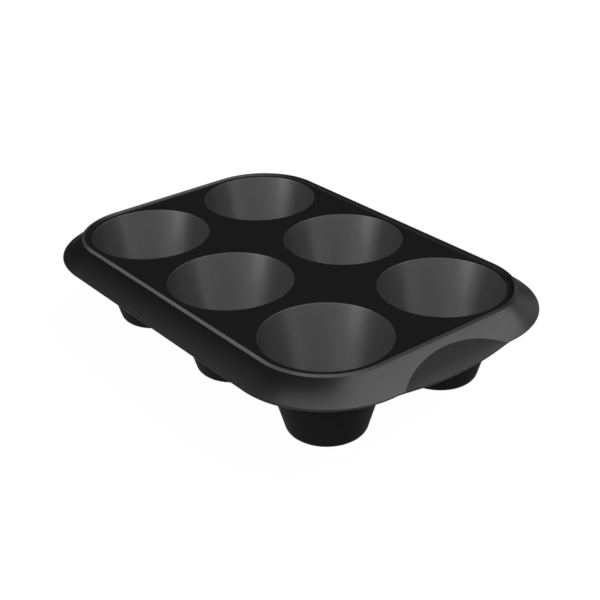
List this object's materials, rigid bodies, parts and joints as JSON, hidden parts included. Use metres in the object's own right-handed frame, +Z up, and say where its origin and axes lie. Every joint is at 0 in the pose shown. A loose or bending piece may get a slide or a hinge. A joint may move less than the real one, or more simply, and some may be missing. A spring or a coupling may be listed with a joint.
{
  "type": "silicone muffin pan",
  "caption": "Flexible black baking pan with tapered round cups hung in rows from a flat deck, a wire-stiffened raised rim, a flared skirt and a grip pad at each end.",
  "frame": {"origin": "on the surface that the cup undersides stand on, under the middle of the pan", "axes": "+X along the pan's long side, +Y across it, +Z up out of the cup mouths"},
  "size_m": [0.2764, 0.1898, 0.0561],
  "materials": {
    "silicone_body": "smooth satin black moulded silicone",
    "silicone_cup": "matt charcoal moulded silicone with a fine turned grain",
    "wire_steel": "drawn stainless steel wire"
  },
  "bodies": {
    "root": {"cup_row1_1": "silicone_cup", "cup_row1_2": "silicone_cup", "cup_row1_3": "silicone_cup", "cup_row2_1": "silicone_cup", "cup_row2_2": "silicone_cup", "cup_row2_3": "silicone_cup", "deck_panel": "silicone_body", "rim_band": "silicone_body", "skirt": "silicone_body", "grip_right": "silicone_body", "grip_left": "silicone_body", "rim_wire": "wire_steel"}
  },
  "joints": []
}
